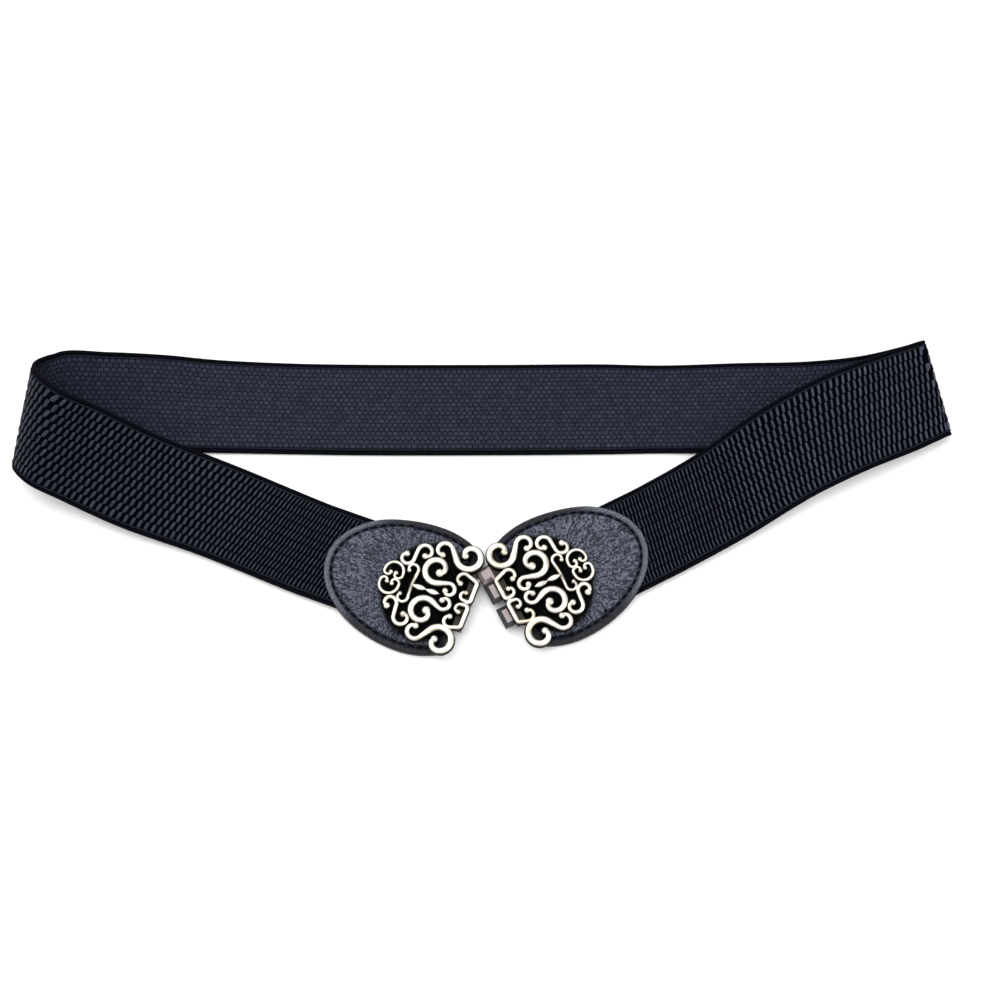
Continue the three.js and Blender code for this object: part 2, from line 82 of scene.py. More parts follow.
# The band's places, as in the CAD source: x, y, low, lean, turn, wide. x and y are shares of the
# loop's width, and low and wide of the band's. lean and turn are degrees. The crease is doubled.
BAND_ROWS = [
    (-0.295, -0.016, 0.04, 3, 69, 0.98),
    (-0.377, 0.010, 0.11, 16, 66, 0.99),
    (-0.438, 0.034, 0.21, 26, 63, 1.02),
    (-0.472, 0.045, 0.34, 34, 63, 1.03),
    (-0.499, 0.075, 0.18, 36, 70, 1.04),
    (-0.481, 0.096, 0, 31, 75, 1.04),
    (-0.422, 0.102, 0, 28, 82, 1),
    (-0.363, 0.1045, 0, 17, 88, 0.99),
    (-0.309, 0.105, 0, 7, 91, 0.99),
    (-0.228, 0.1045, 0, 1, 91, 1.005),
    (-0.147, 0.1036, 0, 0, 90, 1.01),
    (0, 0.1036, 0, 0, 90, 1.008),
    (0.109, 0.1044, 0, 0, 90, 1.005),
    (0.179, 0.1043, 0, 0, 90, 0.98),
    (0.261, 0.1037, 0, 5, 91, 0.97),
    (0.340, 0.1030, 0, 9, 96, 0.97),
    (0.405, 0.1072, 0, 13, 102, 0.99),
    (0.470, 0.1197, 0.05, 17, 106, 1.01),
    (0.428, 0.100, 0.105, 20, 111, 1.04),
    (0.3655, 0.0725, 0.158, 21, 118, 1.05),
    (0.305, 0.0430, 0.13, 16, 122, 1.02),
    (0.232, -0.0010, 0.066, 5, 121, 0.975),
]
CREASE = 17

# A plate's scrolls, as in the CAD source, with a row for each turn: u, v, radius, hand, coil,
# tight, width, ball. Lengths are shares of the plate's height, and coil is in degrees.
SCROLLS = {
    "upper_corner": [
        (0.218, 0.398, 0.109, -1, 325, 0.3, 0.070, 0.034),
        (0.006, 0.378, 0.070, 1, 225, 0.56, 0.050, 0.031),
    ],
    "upper_crest": [
        (-0.269, 0.218, 0.057, 1, 235, 0.58, 0.044, 0.031),
        (-0.144, 0.306, 0.066, -1, 250, 0.46, 0.045, 0.031),
    ],
    "upper_tip": [
        (-0.377, 0.054, 0.037, -1, 170, 0.6, 0.032, 0.022),
        (-0.332, 0.063, 0.081, -1, 0, 1, 0.034, 0),
        (-0.289, 0.048, 0.040, -1, 200, 0.55, 0.032, 0.022),
    ],
    "upper_heart": [
        (0.013, 0.194, 0.110, 1, 320, 0.24, 0.066, 0.040),
        (0.155, 0.066, 0.057, -1, 250, 0.46, 0.047, 0.030),
    ],
    "upper_brace": [
        (-0.186, 0.131, 0.047, -1, 215, 0.7, 0.034, 0.022),
        (-0.149, -0.004, 0.001, 1, 0, 1, 0.034, 0),
    ],
    "upper_bracket": [
        (0.248, 0.190, 0.056, -1, 175, 0.7, 0.041, 0.028),
        (0.338, 0.188, 0.028, -1, 0, 1, 0.048, 0),
        (0.338, 0.048, 0.028, -1, 0, 1, 0.048, 0),
        (0.311, 0.066, 0.042, -1, 160, 0.66, 0.038, 0.025),
    ],
    "lower_corner": [
        (0.232, -0.370, 0.114, 1, 325, 0.3, 0.070, 0.034),
        (0.020, -0.358, 0.070, -1, 225, 0.56, 0.050, 0.031),
    ],
    "lower_crest": [
        (-0.263, -0.210, 0.057, -1, 235, 0.58, 0.044, 0.031),
        (-0.130, -0.290, 0.066, 1, 250, 0.46, 0.045, 0.031),
    ],
    "lower_tip": [
        (-0.379, -0.045, 0.037, 1, 170, 0.6, 0.032, 0.022),
        (-0.333, -0.057, 0.082, 1, 0, 1, 0.034, 0),
        (-0.290, -0.039, 0.040, 1, 200, 0.55, 0.032, 0.022),
    ],
    "lower_heart": [
        (0.022, -0.175, 0.110, -1, 320, 0.24, 0.066, 0.040),
        (0.159, -0.055, 0.057, 1, 250, 0.46, 0.047, 0.030),
    ],
    "lower_brace": [
        (-0.186, -0.119, 0.047, 1, 215, 0.7, 0.034, 0.022),
        (-0.149, 0.004, 0.001, -1, 0, 1, 0.034, 0),
    ],
    "lower_bracket": [
        (0.266, -0.180, 0.055, 1, 175, 0.7, 0.041, 0.028),
        (0.337, -0.184, 0.028, 1, 0, 1, 0.048, 0),
        (0.338, -0.039, 0.028, 1, 0, 1, 0.048, 0),
        (0.309, -0.057, 0.042, 1, 160, 0.66, 0.038, 0.025),
    ],
}
# Each leaf: u, v, half length, width, angle.
LEAVES = [(-0.080, 0.004, 0.062, 0.026, 2), (0.038, 0.004, 0.060, 0.026, 2)]


# Geometry helpers

def rotation(degrees):
    """A turn in the plane."""
    c, s = math.cos(math.radians(degrees)), math.sin(math.radians(degrees))
    return np.array([[c, -s], [s, c]])


def place(half, points):
    """Takes a half's own u, v, z to the belt's frame. Its hand mirrors v."""
    points = np.array(points, float)
    flat = points[:, :2] * [1, half["hand"]]
    flat = flat @ rotation(half["heading"]).T + np.array([half["x"], half["y"]]) * PLATE_HEIGHT
    return np.column_stack([flat, points[:, 2]])


def mesh(name, points, faces, smooth=True, floats=None, vectors=None):
    """An object from points in the belt's frame, in millimetres, and its faces."""
    data = bpy.data.meshes.new(name)
    points = np.column_stack([points[:, :2], np.maximum(points[:, 2], 0.0)])
    faces = [tuple(int(i) for i in face) for face in faces]
    data.from_pydata(((points + SHIFT) * MM).tolist(), [], faces)
    for key, values in (floats or {}).items():
        layer = data.attributes.new(key, "FLOAT", "POINT")
        layer.data.foreach_set("value", np.asarray(values, np.float32))
    for key, values in (vectors or {}).items():
        layer = data.attributes.new(key, "FLOAT_VECTOR", "POINT")
        layer.data.foreach_set("vector", np.asarray(values, np.float32).ravel())
    data.update()
    if smooth:
        data.shade_smooth()
    obj = bpy.data.objects.new(name, data)
    bpy.context.scene.collection.objects.link(obj)
    return obj


def strips(rows, size, closed=True):
    """Quads between rows of points that follow one another."""
    faces = []
    around = size if closed else size - 1
    for row in range(rows - 1):
        for side in range(around):
            a = row * size + side
            b = row * size + (side + 1) % size
            faces.append((a, b, b + size, a + size))
    return faces


def join(parts):
    """Points, faces and values of several parts as one. Each part is (points, faces, values)."""
    points, faces, values, start = [], [], [], 0
    for part_points, part_faces, part_values in parts:
        points.append(part_points)
        faces.extend(tuple(i + start for i in face) for face in part_faces)
        values.append(part_values)
        start += len(part_points)
    return np.vstack(points), faces, np.concatenate(values)


def repeated(faces, size, total):
    """The same faces for each block of points."""
    return [tuple(i + k * size for i in face) for k in range(total) for face in faces]


def unit(rows):
    return rows / np.linalg.norm(rows, axis=1)[:, None]


def smoothstep(x, low, high):
    t = np.clip((np.asarray(x, float) - low) / (high - low), 0, 1)
    return t * t * (3 - 2 * t)


# The band's surface

BAND_SAMPLES = 12000
BAND_STEP = 0.2


def ruling(turn, lean):
    """The direction across the band."""
    flat = math.cos(math.radians(lean))
    return np.array([flat * math.cos(math.radians(turn)), flat * math.sin(math.radians(turn)),
                     math.sin(math.radians(lean))])


def station(row):
    """The middle of the band at one of its places, and the direction across it."""
    x, y, low, lean, turn, wide = row
    across = ruling(turn, lean) * wide
    height = BAND_THICKNESS / 2 + low * BAND_WIDTH + across[2] * BAND_WIDTH / 2
    return np.array([x * LOOP_WIDTH, y * LOOP_WIDTH, height]), across


def fold(row):
    """The places round the crease, where the band is doubled."""
    centre, across = station(row)
    outward = np.array([across[1], -across[0], 0])
    outward /= np.linalg.norm(outward)
    upward = np.cross(outward, across)
    upward /= np.linalg.norm(upward)
    radius = (BAND_THICKNESS + FOLD_GAP) / 2
    angles = [math.pi * (step / FOLD_STEPS - 0.5) for step in range(FOLD_STEPS + 1)]
    return [(centre + outward * radius * (math.cos(a) - 1) + upward * radius * math.sin(a), across)
            for a in angles]


def ends(half):
    """The band's level run inside a tab and out of its mouth."""
    across = ruling(half["heading"] + 90 * half["hand"], 0) * END_WIDE
    band_end = POCKET_END - PIECE_GAP
    run = [band_end, (band_end + TAB_OUTER_END) / 2, TAB_OUTER_END, TAB_OUTER_END - MOUTH_RUN]
    centres = place(half, [(u, half["band_v"], TAB_THICKNESS / 2) for u in run])
    return [(centre, across) for centre in centres]


def catmull(points, shares):
    """A centripetal Catmull-Rom curve through points, at shares of its spans, and its slope."""
    count = len(points)
    span = np.clip(np.floor(shares * (count - 1)).astype(int), 0, count - 2)
    t = (shares * (count - 1) - span)[:, None]
    padded = np.vstack([2 * points[0] - points[1], points, 2 * points[-1] - points[-2]])
    p0, p1, p2, p3 = (padded[span + k] for k in range(4))
    pairs = ((p0, p1), (p1, p2), (p2, p3))
    d0, d1, d2 = (np.sqrt(np.linalg.norm(b - a, axis=1))[:, None] for a, b in pairs)
    m1 = ((p1 - p0) / d0 - (p2 - p0) / (d0 + d1) + (p2 - p1) / d1) * d1
    m2 = ((p2 - p1) / d1 - (p3 - p1) / (d1 + d2) + (p3 - p2) / d2) * d1
    c2 = -3 * p1 + 3 * p2 - 2 * m1 - m2
    c3 = 2 * p1 - 2 * p2 + m1 + m2
    slope = m1 + 2 * c2 * t + 3 * c3 * t ** 2
    return p1 + m1 * t + c2 * t ** 2 + c3 * t ** 3, unit(slope)


class Band:
    """The band's middle surface: s runs along its middle line and v across it."""

    def __init__(self):
        stations = ends(HALVES["left"])
        for index, row in enumerate(BAND_ROWS):
            stations += fold(row) if index == CREASE else [station(row)]
        stations += ends(HALVES["right"])[::-1]
        centres = np.array([s[0] for s in stations])
        acrosses = np.array([s[1] for s in stations])
        _, slope = catmull(centres, np.linspace(0, 1, len(stations)))
        slant = np.sqrt(1 - (slope * unit(acrosses)).sum(1) ** 2)[:, None]
        shares = np.linspace(0, 1, BAND_SAMPLES)
        near, near_slope = catmull(centres - acrosses * BAND_WIDTH / 2 / slant, shares)
        far, far_slope = catmull(centres + acrosses * BAND_WIDTH / 2 / slant, shares)
        centre, slope = (near + far) / 2, unit(near_slope + far_slope)
        length = np.concatenate([[0], np.cumsum(np.linalg.norm(np.diff(centre, axis=0), axis=1))])
        self.s = np.arange(0, length[-1], BAND_STEP)
        pick = lambda values: np.column_stack([np.interp(self.s, length, values[:, k]) for k in range(3)])
        self.centre = pick(centre)
        tangent = unit(pick(slope))
        self.direction = unit(pick(far - near))
        self.inward = unit(np.cross(tangent, self.direction))
        along = (tangent * self.direction).sum(1)
        self.slant = np.sqrt(1 - along ** 2)
        self.shear = along / self.slant
        apart = np.linalg.norm(far - near, axis=1)
        self.wide = np.interp(self.s, length, apart) * self.slant / BAND_WIDTH
        self.length = self.s[-1]
        low = self.at(self.s, -BAND_WIDTH / 2 * self.wide, 0)[:, 2] - BAND_THICKNESS / 2
        self.centre[:, 2] += np.clip(-low, 0, None)

    def at(self, s, v, h):
        """Points at s along and v across, h off the middle surface towards the inner face."""
        mix = lambda values: np.column_stack([np.interp(s, self.s, values[:, k]) for k in range(3)])
        slant = np.interp(s, self.s, self.slant)
        h = np.broadcast_to(h, np.shape(s))
        across = mix(self.direction) * (v / slant)[:, None]
        return mix(self.centre) + across + mix(self.inward) * h[:, None]

    def s_of(self, m, v):
        """The place along the middle line of a thread that lies m along and v across the cloth."""
        return np.interp(m, self.s + v * self.shear, self.s)


band = Band()

# Elastic band pieces

# Half of the band's section: distance from the edge, and the outer and the inner face's height.
BAND_PROFILE = [
    (0.0, 0.30, 0.30), (0.18, 0.62, 0.62), (0.55, 0.72, 0.72), (1.25, 0.72, 0.72), (1.5, 0.42, 0.45),
    (1.72, 0.80, 0.72), (1.95, 0.96, 0.84), (2.2, 0.80, 0.84), (2.45, 0.66, 0.82), (8.0, 0.66, 0.82),
    (13.5, 0.66, 0.82), (19.0, 0.66, 0.82),
]
WEBBING_STEP = 1.1
CURVED = 0.02


def band_base():
    """The webbing with its corded edges, under the ribs of one face and the loops of the other."""
    steps = np.arange(0, band.length, WEBBING_STEP)
    fine = band.s[::2]
    bent = np.abs(np.gradient(band.inward[::2], axis=0)).sum(1) > CURVED
    steps = np.unique(np.round(np.concatenate([steps, fine[bent], [band.length]]), 3))
    half = BAND_WIDTH / 2 * np.interp(steps, band.s, band.wide)
    outer = [(edge, -height, 0.0) for edge, height, _ in BAND_PROFILE]
    inner = [(edge, height, 1.0) for edge, _, height in BAND_PROFILE]
    section = [(-1, *row) for row in outer] + [(1, *row) for row in outer[:-1][::-1]]
    section += [(1, *row) for row in inner] + [(-1, *row) for row in inner[:-1][::-1]]
    columns = [band.at(steps, hand * (half - np.minimum(edge, half)), height)
               for hand, edge, height, _ in section]
    size = len(section)
    points = np.stack(columns, axis=1).reshape(-1, 3)
    faces = strips(len(steps), size)
    last = (len(steps) - 1) * size
    faces.append(tuple(range(size))[::-1])
    faces.append(tuple(last + i for i in range(size)))
    edges, sides = (np.tile([row[k] for row in section], len(steps)) for k in (1, 3))
    return mesh("elastic_webbing", points, faces, floats={"edge": edges, "inner": sides})


# The weave. Its columns are closer together by the tabs, where the band is less stretched.
WEAVE_ROWS = 10
ROW_PITCH = 3.36
SLACK_PITCH, LEFT_PITCH, RIGHT_PITCH = 1.5, 2.55, 2.35
SLACK_TO, STRETCHED_FROM = 42, 85
RIB_LENGTH = 3.3
RIB_SLANT = math.tan(math.radians(13))
MIDDLE_SLANT = 0.55
RIB_FOOT, RIB_RISE = 0.60, 0.46
SLACK_RIB, LEFT_RIB, RIGHT_RIB = 0.56, 1.32, 1.06
# A rib's brightness by the tab, and how it changes to where the band is stretched.
LEFT_GLOW, LEFT_CHANGE = 0.40, -0.12
RIGHT_GLOW, RIGHT_CHANGE = 0.42, 0.16
WEAVE_MARGIN = 0.6
END_MARGIN = 0.05


def stretched(m):
    return smoothstep(np.minimum(m, band.length - m), SLACK_TO, STRETCHED_FROM)


def columns_along():
    """Places of the weave's columns along the band."""
    places, m = [], WEAVE_MARGIN
    while m < band.length - WEAVE_MARGIN:
        places.append(m)
        outer = LEFT_PITCH if m < band.length / 2 else RIGHT_PITCH
        m += SLACK_PITCH + (outer - SLACK_PITCH) * float(stretched(m))
    return np.array(places)


def rib_look(m):
    """Width of a rib, and its brightness."""
    left = m < band.length / 2
    width = SLACK_RIB + (np.where(left, LEFT_RIB, RIGHT_RIB) - SLACK_RIB) * stretched(m)
    glow = np.where(left, LEFT_GLOW + LEFT_CHANGE * stretched(m),
                    RIGHT_GLOW + RIGHT_CHANGE * stretched(m))
    return width, glow


def within_ends(m):
    return np.clip(m, END_MARGIN, band.length - END_MARGIN)


def ribs():
    """The raised ribs of the outer face, in rows that are set half a step from each other."""
    places = columns_along()
    middles = np.append((places[:-1] + places[1:]) / 2, places[-1] + 1)
    lengths = np.array([-0.5, -0.36, 0.0, 0.36, 0.5])
    swell = np.array([0.25, 0.85, 1.0, 0.85, 0.25])
    section = [(-0.5, 0.0), (-0.3, 0.8), (0.3, 0.8), (0.5, 0.0)]
    parts, tones = [], []
    chance = np.random.default_rng(4)
    for row in range(WEAVE_ROWS):
        start = places if row % 2 else middles
        width, glow = rib_look(start)
        base_v = (row - (WEAVE_ROWS - 1) / 2) * ROW_PITCH
        grid = []
        for dv, fat in zip(lengths * RIB_LENGTH, swell):
            for side, rise in section:
                slant = RIB_SLANT * (1 if row % 2 else MIDDLE_SLANT)
                m = within_ends(start - slant * dv + side * width * (0.45 + 0.55 * fat))
                s = band.s_of(m, base_v + dv)
                wide = np.interp(s, band.s, band.wide)
                top = RIB_FOOT + RIB_RISE * rise * fat
                grid.append(band.at(s, (base_v + dv) * wide, -np.full_like(s, top)))
        parts.append(np.stack(grid, axis=1))
        tones.append(np.repeat(chance.uniform(0.5, 1, len(start)) * glow, len(grid)))
    points = np.concatenate([part.reshape(-1, 3) for part in parts])
    size = len(section)
    one = [face[::-1] for face in strips(len(lengths), size, closed=False)]
    last = (len(lengths) - 1) * size
    one += [tuple(range(size)), tuple(last + i for i in range(size))[::-1]]
    block = size * len(lengths)
    faces = repeated(one, block, len(points) // block)
    return mesh("elastic_ribs", points, faces, floats={"tone": np.concatenate(tones)})


KNIT_ROWS = 19
KNIT_PITCH, LOOP_PITCH = 1.74, 2.15
LOOP_LENGTH, LOOP_BREADTH = 1.95, 1.66
LOOP_FOOT, LOOP_RISE = 0.80, 0.24
KNIT_MARGIN = 0.8
# A loop's nine points: along, across, and how far each rises.
LOOP = [(-0.36, -0.42, 0.2), (0, -0.5, 0.3), (0.36, -0.42, 0.2),
        (-0.5, 0, 0.3), (0, 0, 1), (0.5, 0, 0.3),
        (-0.36, 0.42, 0.2), (0, 0.5, 0.3), (0.36, 0.42, 0.2)]
LOOP_FACES = [(0, 1, 4, 3), (1, 2, 5, 4), (3, 4, 7, 6), (4, 5, 8, 7)]


def knit():
    """The small loops of the inner face, in rows that are set half a loop from each other."""
    parts, tones = [], []
    chance = np.random.default_rng(7)
    for row in range(KNIT_ROWS):
        first = KNIT_MARGIN + LOOP_PITCH / 2 * (row % 2)
        places = np.arange(first, band.length - KNIT_MARGIN, LOOP_PITCH)
        base_v = (row - (KNIT_ROWS - 1) / 2) * KNIT_PITCH
        grid = []
        for dm, dv, rise in LOOP:
            v = base_v + dv * LOOP_BREADTH
            s = band.s_of(within_ends(places + dm * LOOP_LENGTH), v)
            wide = np.interp(s, band.s, band.wide)
            grid.append(band.at(s, v * wide, LOOP_FOOT + LOOP_RISE * rise))
        parts.append(np.stack(grid, axis=1))
        tones.append(np.repeat(chance.uniform(0.55, 1, len(places)), len(grid)))
    points = np.concatenate([part.reshape(-1, 3) for part in parts])
    faces = repeated(LOOP_FACES, len(LOOP), len(points) // len(LOOP))
    return mesh("elastic_knit", points, faces, floats={"tone": np.concatenate(tones)})


# Leather tabs

STITCH_INSET = 2.8
STITCH_PITCH = 3.5
STITCH_LENGTH = 2.5
STITCH_WIDTH = 1.35
STITCH_HEIGHT = 0.76
STITCH_LIFT = 0.12
TAB_POINTS = 260
TAB_INSETS = [0.0, 0.12, 0.3, 0.55, 0.9, 1.35, 1.8, 2.15, 2.4, 2.6, 2.8, 3.0, 3.25, 3.6, 4.2, 5.0,
              6.0, 7.2]
# The edge value of all the leather that lies well inside the stitches.
INSIDE = 9.0
# The dark ellipse of painted shadow under the plate, and where the leather's border turns pale towards the
# strap.
PLATE_SHADOW_MIDDLE, PLATE_SHADOW_LENGTH, PLATE_SHADOW_HEIGHT = -1.0, 17.3, 20.0
PALE_FROM, PALE_TO = -34.0, -20.0
# Wrinkles run out from this place.
RAYS_MIDDLE, RAYS_AROUND, RAYS_OUT = -2.0, 30, 0.34


def tab_outline(half, inset, count=TAB_POINTS):
    """The egg of the CAD tab, drawn in by an inset, as evenly spaced points."""
    tall = TAB_HALF_HEIGHT - inset
    cut_edge = TAB_INNER_EDGE - half["tab_u"] - inset
    inner, outer = TAB_INNER_LENGTH - inset, TAB_OUTER_LENGTH - inset
    cut = math.acos((cut_edge - TAB_MIDDLE) / inner)
    angle = np.concatenate([np.linspace(cut, math.pi / 2, 200),
                            np.linspace(math.pi / 2, 1.5 * math.pi, 600)[1:],
                            np.linspace(-math.pi / 2, -cut, 200)[1:]])
    reach = np.where(np.cos(angle) > 0, inner, outer)
    line = np.column_stack([TAB_MIDDLE + reach * np.cos(angle), tall * np.sin(angle)])
    straight = np.linspace(line[-1], line[0], 120)[1:]
    line = np.vstack([line, straight])
    # The two corners at the cut are rounded a little.
    for _ in range(6):
        line[1:-1] = (line[:-2] + 2 * line[1:-1] + line[2:]) / 4
    length = np.concatenate([[0], np.cumsum(np.linalg.norm(np.diff(line, axis=0), axis=1))])
    even = np.linspace(0, length[-1], count, endpoint=False)
    return np.column_stack([np.interp(even, length, line[:, k]) for k in range(2)])


def tab_edge_height(u, distance):
    """How high the leather's edge is at a distance from the tab's middle line."""
    over = smoothstep(BAND_WIDTH / 2 + TAB_SHOULDER - distance, 0, TAB_SHOULDER)
    full = np.where(u < POCKET_END, over, 0)
    return TAB_EDGE + (TAB_THICKNESS - TAB_ROUND - TAB_EDGE) * full


def tab_profile(inset, edge):
    """Height of the leather's top at a distance in from its edge: a rolled border, a stitched
    groove, and the raised body."""
    body = edge + (TAB_THICKNESS - edge) * smoothstep(inset, 2.6, TAB_SHOULDER + 1.5)
    bead = 0.28 * math.exp(-((inset - 1.35) / 0.75) ** 2)
    groove = -0.42 * math.exp(-((inset - STITCH_INSET) / 0.42) ** 2)
    roll = -0.55 * max(0.0, 1 - inset / 0.55) ** 2
    return body + bead + groove + roll


def tab(side):
    """The leather tab, with the pocket for the band cut out of it."""
    half = HALVES[side]
    count = TAB_POINTS
    shift = np.array([half["tab_u"], half["tab_v"]])
    rings, marks = [], []

    def add(outline, height, mark):
        rings.append(np.column_stack([outline + shift, height]))
        marks.append(np.full(count, mark))

    base = tab_outline(half, 0)
    centre = np.array([TAB_MIDDLE - 8.0, 0.0])
    for share in (0.02, 0.5):
        add(centre + (base - centre) * share, np.zeros(count), INSIDE)
    add(tab_outline(half, 0.5), np.zeros(count), 0.0)
    add(tab_outline(half, 0.15), np.full(count, 0.12), 0.0)
    add(base, np.full(count, 0.5), 0.0)
    edge = tab_edge_height(base[:, 0], np.abs(base[:, 1]))
    add(base, 0.5 + (edge - 1.1) * 0.5, 0.0)
    for inset in TAB_INSETS:
        outline = tab_outline(half, inset)
        edge = tab_edge_height(outline[:, 0], np.abs(outline[:, 1]))
        height = np.array([tab_profile(inset, value) for value in edge])
        add(outline, height, inset)
    inner = tab_outline(half, TAB_INSETS[-1])
    for share in np.linspace(0.96, 0.02, 20):
        add(centre + (inner - centre) * share, np.full(count, TAB_THICKNESS), INSIDE)
    points = np.vstack(rings)
    faces = strips(len(rings), count)
    last = (len(rings) - 1) * count
    faces.append(tuple(range(count))[::-1])
    faces.append(tuple(last + i for i in range(count)))
    u, v = points[:, 0], points[:, 1]
    radius, around = np.hypot(u - RAYS_MIDDLE, v), np.arctan2(v, u - RAYS_MIDDLE)
    rays = np.column_stack([RAYS_AROUND * np.cos(around), RAYS_AROUND * np.sin(around),
                            RAYS_OUT * radius])
    # Painted shadow: a dark ellipse under the plate, kept in the shade attribute.
    dark = 1 - smoothstep(np.hypot((u - PLATE_SHADOW_MIDDLE) / PLATE_SHADOW_LENGTH, v / PLATE_SHADOW_HEIGHT), 0.92, 1.0)
    strap = 1 - smoothstep(u, PALE_FROM, PALE_TO)
    if half["hand"] < 0:
        faces = [face[::-1] for face in faces]
    obj = mesh(f"{side}_leather", place(half, points), faces,
               floats={"edge": np.concatenate(marks), "shade": dark, "strap": strap},
               vectors={"rays": rays})
    reach = BAND_WIDTH / 2 + PIECE_GAP
    low = (TAB_OUTER_END - MOUTH_RUN, half["band_v"] - reach, LEATHER_WALL)
    high = (POCKET_END, half["band_v"] + reach, LEATHER_WALL + POCKET_HEIGHT)
    corners = [(x, y, z) for x in (low[0], high[0]) for y in (low[1], high[1])
               for z in (low[2], high[2])]
    sides = [(0, 1, 3, 2), (4, 6, 7, 5), (0, 4, 5, 1), (2, 3, 7, 6), (0, 2, 6, 4), (1, 5, 7, 3)]
    if half["hand"] < 0:
        sides = [face[::-1] for face in sides]
    pocket = mesh(f"{side}_pocket", place(half, corners), sides, smooth=False)
    cut = obj.modifiers.new("pocket", "BOOLEAN")
    cut.operation, cut.object, cut.solver = "DIFFERENCE", pocket, "EXACT"
    apply_modifiers(obj)
    bpy.data.objects.remove(pocket, do_unlink=True)
    return obj


def apply_modifiers(obj):
    graph = bpy.context.evaluated_depsgraph_get()
    data = bpy.data.meshes.new_from_object(obj.evaluated_get(graph), preserve_all_data_layers=True,
                                           depsgraph=graph)
    obj.modifiers.clear()
    obj.data = data


def stitches(side):
    """The row of stitches round a tab."""
    half = HALVES[side]
    line = tab_outline(half, STITCH_INSET, 1200)
    closed = np.vstack([line, line[:1]])
    length = np.concatenate([[0], np.cumsum(np.linalg.norm(np.diff(closed, axis=0), axis=1))])
    count = round(length[-1] / STITCH_PITCH)
    pitch = length[-1] / count
    bends = np.array([-0.5, -0.38, 0.0, 0.38, 0.5])
    fat = np.array([0.35, 0.85, 1.0, 0.85, 0.35])
    drop = np.array([-0.28, 0.02, 0.16, 0.02, -0.28])
    sides = 8
    parts = []
    one = strips(len(bends), sides)
    one += [tuple(range(sides))[::-1], tuple((len(bends) - 1) * sides + i for i in range(sides))]
    for k in range(count):
        where = ((k + 0.5) * pitch + bends * STITCH_LENGTH) % length[-1]
        path = np.column_stack([np.interp(where, length, closed[:, i]) for i in range(2)])
        way = path[-1] - path[0]
        way /= np.linalg.norm(way)
        normal = np.array([-way[1], way[0]])
        edge = tab_edge_height(path[:, 0], np.abs(path[:, 1]))
        height = np.array([tab_profile(STITCH_INSET, value) for value in edge]) + drop + STITCH_LIFT
        points = []
        for point, z, size in zip(path, height, fat):
            for i in range(sides):
                angle = 2 * math.pi * i / sides
                offset = normal * math.cos(angle) * STITCH_WIDTH / 2 * size
                points.append([*(point + offset), z + math.sin(angle) * STITCH_HEIGHT / 2 * size])
        points = np.array(points)
        points[:, :2] += [half["tab_u"], half["tab_v"]]
        parts.append((points, one, np.zeros(len(points))))
    points, faces, _ = join(parts)
    if half["hand"] > 0:
        faces = [face[::-1] for face in faces]
    return mesh(f"{side}_stitches", place(half, points), faces)


# Scrollwork

WIND_POWER = 3
COIL_THINNING = 0.35
COIL_STEP = 9
DOME_POINTS = 20
# Reach and height of the rings of the ball at a scroll's end.
DOME = [(1.0, 0.0), (1.0, 0.4), (0.94, 0.74), (0.8, 0.95), (0.55, 1.07), (0.25, 1.12), (0.02, 1.13)]
LEAF_POINTS = 15
LEAF_SWELL = 2.3
LEAF_TIP = 0.12


def run_angle(a, b):
    """The direction of the straight run from one turn to the next."""
    apart = math.hypot(b[0] - a[0], b[1] - a[1])
    line = math.atan2(b[1] - a[1], b[0] - a[0])
    return line - math.asin((b[3] * b[2] - a[3] * a[2]) / apart)


def scroll_line(turns):
    """The middle line of a scroll with its width at each point, in millimetres."""
    points = []
    for index, (u, v, radius, hand, coil, tight, width, _) in enumerate(turns):
        arriving = run_angle(turns[index - 1], turns[index]) if index else None
        leaving = run_angle(turns[index], turns[index + 1]) if index + 1 < len(turns) else None
        side, wind = hand * math.pi / 2, hand * math.radians(coil)
        start = leaving - side - wind if arriving is None else arriving - side
        stop = arriving - side + wind if leaving is None else leaving - side
        if arriving is not None and leaving is not None:
            full = 2 * math.pi * hand
            stop = start + math.fmod(math.fmod(stop - start, full) + full, full)
        tight_in = tight if arriving is None else 1
        tight_out = tight if leaving is None else 1
        steps = max(3, math.ceil(abs(stop - start) / math.radians(COIL_STEP)))
        shares = np.linspace(0, 1, steps + 1) if stop != start else [1.0]
        for share in shares:
            wound = (1 - tight_in) * (1 - share) ** WIND_POWER + (1 - tight_out) * share ** WIND_POWER
            reach = radius * (1 - wound)
            angle = start + (stop - start) * share
            points.append((u + reach * math.cos(angle), v + reach * math.sin(angle),
                           width * (1 - COIL_THINNING * wound)))
    return np.array(points) * PLATE_HEIGHT


# Half widths and heights round a ribbon's section: steep sides with a wide, softly rounded top.
SECTION = [(-1.0, 0.0), (-0.98, 0.38), (-0.90, 0.68), (-0.76, 0.88), (-0.45, 0.985), (0.0, 1.02),
           (0.45, 0.985), (0.76, 0.88), (0.90, 0.68), (0.98, 0.38), (1.0, 0.0)]


def ribbon(line):
    """A scroll's solid round its middle line."""
    before, after = np.vstack([line[:1], line[:-1]]), np.vstack([line[1:], line[-1:]])
    way = after[:, :2] - before[:, :2]
    way /= np.linalg.norm(way, axis=1)[:, None]
    normal = np.column_stack([-way[:, 1], way[:, 0]])
    points, rise = [], []
    for (u, v, width), side in zip(line, normal):
        for across, height in SECTION:
            reach = across * width / 2
            points.append((u + side[0] * reach, v + side[1] * reach, height * RELIEF))
            rise.append(height)
    size = len(SECTION)
    faces = strips(len(line), size)
    last = (len(line) - 1) * size
    faces += [tuple(range(size))[::-1], tuple(last + i for i in range(size))]
    return np.array(points), faces, np.array(rise)


